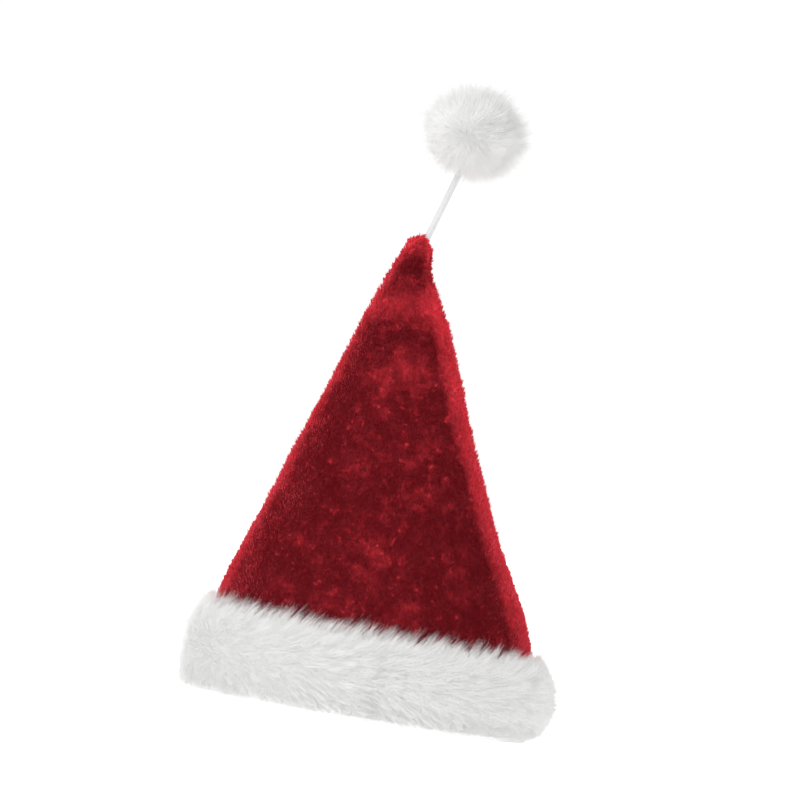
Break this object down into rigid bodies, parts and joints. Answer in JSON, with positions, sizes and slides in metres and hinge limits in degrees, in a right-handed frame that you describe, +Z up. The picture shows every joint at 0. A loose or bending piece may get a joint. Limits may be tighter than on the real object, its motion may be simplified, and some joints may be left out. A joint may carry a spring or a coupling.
{
  "type": "santa hat",
  "caption": "Soft red plush cone hat with a deep white fur cuff and a white fur ball held above its tip on a slim leaning stem.",
  "frame": {"origin": "middle of the cuff's flat underside, on the surface that the hat stands on", "axes": "+Z up the hat, +X to the right of somebody who looks at the hat's front, -Y to the front"},
  "size_m": [0.2655, 0.2125, 0.4445],
  "materials": {
    "red_plush": "short crushed red plush",
    "white_fur": "long soft white faux fur",
    "white_plastic": "smooth semi-gloss white"
  },
  "bodies": {
    "root": {"crown": "red_plush", "cuff": "white_fur", "pompom": "white_fur", "stem": "white_plastic"}
  },
  "joints": []
}
